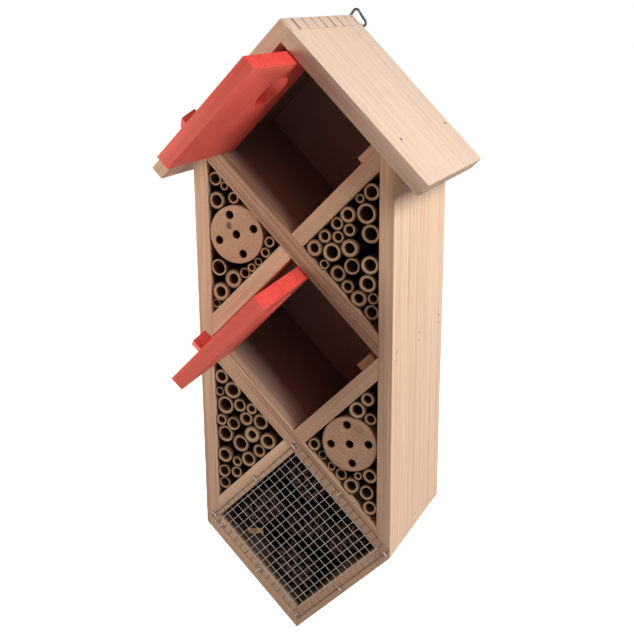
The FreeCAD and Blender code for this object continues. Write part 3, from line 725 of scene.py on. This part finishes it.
def staple_places():
    """Middle, front level and run of each staple, read from its solid."""
    places = []
    for low, high, points in loose_boxes("mesh_staples"):
        middle = (low + high) / 2
        far = max(points, key=lambda p: p.x - p.z)
        near = max(points, key=lambda p: p.x + p.z)
        spread_falling = (far - middle).dot(falling)
        spread_rising = (near - middle).dot(rising)
        way = falling if spread_falling > spread_rising else rising
        places.append((middle.x, middle.z, low.y, way))
    return places


weld_mesh()
bend_staples()
for node, finish in (
    ("hanger_ring", ring_steel), ("hanger_strap", plate_zinc), ("hanger_screws", plate_zinc),
    ("left_brads", nail_steel), ("right_brads", nail_steel), ("roof_brads", nail_steel),
    ("back_brads", nail_steel), ("upper_hinge_pins", nail_steel), ("lower_hinge_pins", nail_steel),
):
    dress(nodes[node], finish)


# ---- pine cones ----
def cone_finish():
    """Dry scales, paler at their tips."""
    finish = Finish("pine cone scales", Specular_IOR_Level=0.25)
    at = finish.place()
    tip = finish.mark("tip")
    mottle = finish.cloud(at, 320.0, 4.0, 0.6)
    inner = finish.blend(mottle, (0.013, 0.006, 0.005), (0.034, 0.015, 0.011))
    outer = finish.blend(mottle, (0.056, 0.026, 0.021), (0.118, 0.058, 0.047))
    colour = finish.blend(tip.step(0.55, 0.95), inner, outer)
    colour = finish.blend(finish.cloud(at, 60.0, 2.0).step(0.4, 0.7) * 0.4, colour, (0.070, 0.032, 0.024))
    finish.relief(mottle, 0.0004)
    return finish.feed(Base_Color=colour, Roughness=0.7 + mottle * 0.2)


# Along a scale, from foot to tip: share of its length, its width, its thickness, and its lift.
scale_profile = (
    (0.0, 0.35, 0.5, 0.0), (0.35, 0.62, 0.5, 0.03), (0.68, 0.95, 0.75, 0.12), (0.86, 1.0, 1.35, 0.24),
    (1.0, 0.62, 1.15, 0.34),
)
golden_turn = 2.399963


def add_scale(mesh, tip_mark, foot, way, out, width, length, thick, curl):
    """One woody scale: narrow at its foot, broad and thick at its tip, curling outward."""
    across = way.cross(out).normalized()
    up = across.cross(way).normalized()
    rows = []
    for share, wide, tall, lift in scale_profile:
        middle = foot + way * (length * share) + up * (length * curl * lift)
        w = width / 2 * wide
        t = thick / 2 * tall
        ring_points = [(-w, -t * 0.2), (-w * 0.6, -t), (0, -t * 1.15), (w * 0.6, -t), (w, -t * 0.2),
                       (w * 0.55, t * 0.75), (0, t * (1.2 if share < 0.8 else 1.9)), (-w * 0.55, t * 0.75)]
        row = []
        for dx, dt in ring_points:
            vert = mesh.verts.new(middle + across * dx + up * dt)
            vert[tip_mark] = share
            row.append(vert)
        rows.append(row)
    closed_skin(mesh, rows)


def grow_cone(node, finish, seed):
    """A dry cone in its solid's place: scales on a golden spiral round the core."""
    chance = random.Random(seed)
    points = [v.co for v in nodes[node].data.vertices]
    centre = sum(points, Vector()) / len(points)
    far = max(points, key=lambda p: (p - centre).length)
    other = max(points, key=lambda p: (p - far).length)
    axis = (other - far).normalized()
    centre = (far + other) / 2
    half = (other - far).length / 2
    radius = max(((p - centre) - axis * (p - centre).dot(axis)).length for p in points)
    side = axis.cross(Vector((0.2, 0.3, 0.93))).normalized()
    mesh = bmesh.new()
    tip_mark = mesh.verts.layers.float.new("tip")
    count = 84
    for k in range(count):
        share = (k + 0.5) / count
        along = -0.86 + 1.66 * share
        body = max(0.0, 1 - (abs(along + 0.12) / 1.02) ** 2.2) ** 0.5
        angle = k * golden_turn + chance.uniform(-0.1, 0.1)
        out = side * math.cos(angle) + axis.cross(side) * math.sin(angle)
        opening = 0.95 - 0.75 * share + chance.uniform(-0.1, 0.1)
        way = (out * math.sin(0.35 + opening) + axis * math.cos(0.35 + opening)).normalized()
        reach = radius * (0.30 + 0.62 * body)
        foot = centre + axis * (half * along * 0.86) + out * (reach * 0.22)
        length = reach * (0.78 if share < 0.85 else 0.6)
        add_scale(mesh, tip_mark, foot, way, out, reach * 0.62, length, 0.0017, 0.55)
    core = [centre + axis * (half * s) for s in (-0.8, -0.4, 0.0, 0.4, 0.75)]
    bar(mesh, core, radius * 0.25)
    for vert in mesh.verts:
        offset = vert.co - centre
        height = offset.dot(axis)
        out = offset - axis * height
        height = max(-half, min(half, height))
        if out.length > radius * 0.99:
            out = out.normalized() * radius * 0.99
        vert.co = centre + axis * height + out
    piece = built(mesh, node + "_scales", finish, node, angle=45)


cone = cone_finish()
cone_nodes = sorted(n for n in nodes if n.startswith("pine_cone"))
for number, node in enumerate(cone_nodes):
    grow_cone(node, cone, 30 + number)


# ---- bark ----
def bark_finish():
    """Dark bark in plates with cracks between."""
    finish = Finish("rough bark", Specular_IOR_Level=0.2)
    at = finish.place()
    plates = finish.cells(at, 130.0, "DISTANCE_TO_EDGE")
    fine = finish.cloud(at, 240.0, 5.0, 0.6)
    colour = finish.blend(fine, (0.026, 0.013, 0.009), (0.075, 0.040, 0.028))
    colour = finish.blend(1 - plates.step(0.0, 0.12), colour, (0.035, 0.018, 0.012))
    finish.relief(plates.step(0.0, 0.2) * 0.7 + fine * 0.6, 0.0009)
    return finish.feed(Base_Color=colour, Roughness=0.85 + fine * 0.1)


def flake(mesh, centre, turn, width, length, thick, seed, steps=12):
    """A torn slab: ragged outline, ridged faces, slightly cupped."""
    both = []
    for side in (1, -1):
        grid = []
        for i in range(steps + 1):
            row = []
            for j in range(steps + 1):
                u = i / steps * 2 - 1
                v = j / steps * 2 - 1
                ragged = 1 - 0.16 * abs(noise.noise(Vector((u * 2.3, v * 2.3, seed))))
                x = u * width / 2 * ragged
                y = v * length / 2 * (1 - 0.16 * abs(noise.noise(Vector((v * 2.1, u * 2.7, seed + 9)))))
                edge = 1 - max(abs(u), abs(v)) ** 6
                bumps = noise.noise(Vector((u * 4 + seed, v * 1.6, side))) * 0.35
                z = side * thick / 2 * (0.25 + 0.75 * edge) * (0.7 + bumps) - thick * 0.15 * u * u
                row.append(mesh.verts.new(centre + turn @ Vector((x, y, z))))
            grid.append(row)
        for i in range(steps):
            for j in range(steps):
                mesh.faces.new((grid[i][j], grid[i + 1][j], grid[i + 1][j + 1], grid[i][j + 1]))
        both.append(grid)
    upper, lower = both
    for i in range(steps):
        for (r, c), (next_r, next_c) in (
            ((i, 0), (i + 1, 0)), ((i, steps), (i + 1, steps)),
            ((0, i), (0, i + 1)), ((steps, i), (steps, i + 1)),
        ):
            mesh.faces.new((upper[r][c], upper[next_r][next_c], lower[next_r][next_c], lower[r][c]))


def in_store(heading, tilt=0.0):
    """How a bit lies in the store behind the mesh, turned and tipped from flat against it."""
    flat = Matrix((falling, rising, -to_back)).transposed()
    return flat @ Matrix.Rotation(heading, 3, "Z") @ Matrix.Rotation(tilt, 3, "X")


def fill_with_bark():
    """A torn slab in the place of each of the bark's solids."""
    chance = random.Random(77)
    mesh = bmesh.new()
    for number, (low, high, points) in enumerate(loose_boxes("bark_pieces")):
        centre = (low + high) / 2
        downs = [(p - centre).dot(falling) for p in points]
        ups = [(p - centre).dot(rising) for p in points]
        flake(mesh, centre, in_store(chance.uniform(-0.1, 0.1)), (max(downs) - min(downs)) * 0.92,
              (max(ups) - min(ups)) * 0.92, (high.y - low.y) * 0.95, number * 3.7)
    piece = built(mesh, "torn_bark", bark_finish(), "bark_pieces", angle=60)


fill_with_bark()

# The store's middle is below the frame's origin by the height that a long divider spans.
divider_low, divider_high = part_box("upper_long_divider")
store_middle = Vector((0, front, divider_low.z - divider_high.z))


def scatter_litter():
    """Loose scales, crumbs and bits of bark between the cones."""
    chance = random.Random(13)
    mesh = bmesh.new()
    tip_mark = mesh.verts.layers.float.new("tip")
    reach = 0.0415
    cone_reach = 0.036
    for number in range(120):
        down = chance.uniform(-reach, reach)
        up = chance.uniform(-reach, reach)
        behind = chance.uniform(0.026, 0.060)
        if abs(down) < cone_reach and abs(up) < cone_reach:
            behind = max(behind, 0.036)
        centre = store_middle + falling * down + rising * up + to_back * behind
        turn = in_store(chance.uniform(0, 6.28), chance.uniform(-1.2, 1.2))
        if number % 3:
            way = turn @ Vector((1, 0, 0))
            out = turn @ Vector((0, 0, 1))
            size = chance.uniform(0.0045, 0.0085)
            add_scale(mesh, tip_mark, centre, way, out, size * 0.75, size, 0.0011, 0.4)
        else:
            flake(mesh, centre, turn, chance.uniform(0.006, 0.016), chance.uniform(0.004, 0.009),
                  chance.uniform(0.0012, 0.003), number * 1.3, 4)
    piece = built(mesh, "loose_scales_and_crumbs", cone, angle=50)


scatter_litter()


def split_chip():
    """A pale splinter with a split face and a ragged end."""
    low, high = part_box("light_chip")
    centre = (low + high) / 2
    mesh = bmesh.new()
    turn = Matrix.Rotation(math.radians(-12), 3, "Y") @ Matrix.Rotation(math.radians(90), 3, "X")
    flake(mesh, centre, turn, 0.0140, 0.0044, 0.0022, 4.4, 10)
    finish = Finish("split pale wood", Specular_IOR_Level=0.3)
    at = finish.place()
    line_at = finish.vector(at.along((1, 0, 0)) * 60, at.along(to_back) * 900, at.along(upright) * 900)
    lines = finish.cloud(line_at, 1.0)
    colour = finish.blend(lines, (0.52, 0.31, 0.17), (0.20, 0.105, 0.055))
    finish.relief(lines, 0.0003)
    finish.feed(Base_Color=colour, Roughness=0.8 - lines * 0.1)
    piece = built(mesh, "split_chip", finish.material, "light_chip", angle=40)


split_chip()


# ---- floor, light and camera ----
room_light = (0.150, 0.108, 0.085)
floor_level = -0.75

# Each lamp: name, place, what it points at, size, power and colour.
lamps = (
    ("key", (1.8, -0.20, 1.1), (0, -0.05, 0.05), 1.3, 54.0, (1.0, 0.97, 0.95)),
    ("side fill", (-0.40, -0.42, 0.14), (0, -0.1, 0.02), 0.30, 1.48, (1.0, 0.87, 0.77)),
    ("back fill", (-0.75, 1.9, 0.10), (0, 0, 0.0), 0.8, 24.0, (1.0, 0.97, 0.94)),
)


class Room(Finish):
    """The light and the white that surround the pieces."""

    def __init__(self, name):
        self.world = bpy.data.worlds.new(name)
        self.world.use_nodes = True
        self.tree = self.world.node_tree


def floor_and_light():
    """A pale floor well below, white behind everything, and a warm room's light on the pieces."""
    mesh = bmesh.new()
    bmesh.ops.create_grid(mesh, x_segments=1, y_segments=1, size=12.0)
    data = bpy.data.meshes.new("pale_floor")
    mesh.to_mesh(data)
    mesh.free()
    floor = bpy.data.objects.new("pale_floor", data)
    floor.location = (0, 0, floor_level)
    floor.visible_diffuse = False
    bpy.context.scene.collection.objects.link(floor)
    finish = Finish("pale floor", Specular_IOR_Level=0.1, Roughness=0.9, Emission_Strength=1.0)
    speckle = finish.cloud(finish.place(), 6.0, 2.0)
    pale = finish.blend(speckle, (0.975, 0.975, 0.975), (1.0, 1.0, 1.0))
    dress(floor, finish.feed(Base_Color=pale, Emission_Color=pale))

    room = Room("white studio")
    warm = room.tree.nodes["Background"]
    link(room.tree, room_light, warm.inputs["Color"])
    white = room.add("ShaderNodeBackground", None, {"Color": (1, 1, 1)})
    seen = room.add("ShaderNodeLightPath", out="Is Camera Ray")
    either = room.add("ShaderNodeMixShader", None, {0: seen, 1: Flow(room, warm.outputs[0]), 2: white})
    link(room.tree, either, room.tree.nodes["World Output"].inputs[0])
    bpy.context.scene.world = room.world

    for name, place, aim, size, power, colour in lamps:
        lamp = bpy.data.lights.new(name, "AREA")
        lamp.energy = power
        lamp.color = colour
        lamp.size = size
        holder = bpy.data.objects.new(name, lamp)
        holder.location = place
        holder.rotation_euler = (Vector(aim) - Vector(place)).to_track_quat("-Z", "Y").to_euler()
        bpy.context.scene.collection.objects.link(holder)


def stand_camera():
    """The camera's place in metres, and its turns in radians."""
    place = Vector((0.30596, -0.76710, 0.23872))
    yaw = 0.4122
    pitch = -0.284
    roll = -0.007
    ahead = Vector((-math.sin(yaw) * math.cos(pitch), math.cos(yaw) * math.cos(pitch), math.sin(pitch)))
    right = Vector((math.cos(yaw), math.sin(yaw), 0))
    up = right.cross(ahead)
    level_right = math.cos(roll) * right + math.sin(roll) * up
    level_up = math.cos(roll) * up - math.sin(roll) * right
    turned = Matrix((level_right, level_up, -ahead)).transposed().to_4x4()
    data = bpy.data.cameras.new("camera")
    data.sensor_width = 36.0
    data.lens = 60.9
    data.shift_x = -0.0022
    data.shift_y = -0.0139
    holder = bpy.data.objects.new("camera", data)
    holder.matrix_world = Matrix.Translation(place) @ turned
    bpy.context.scene.collection.objects.link(holder)
    bpy.context.scene.camera = holder


floor_and_light()
stand_camera()
bpy.context.scene.view_settings.view_transform = "Standard"
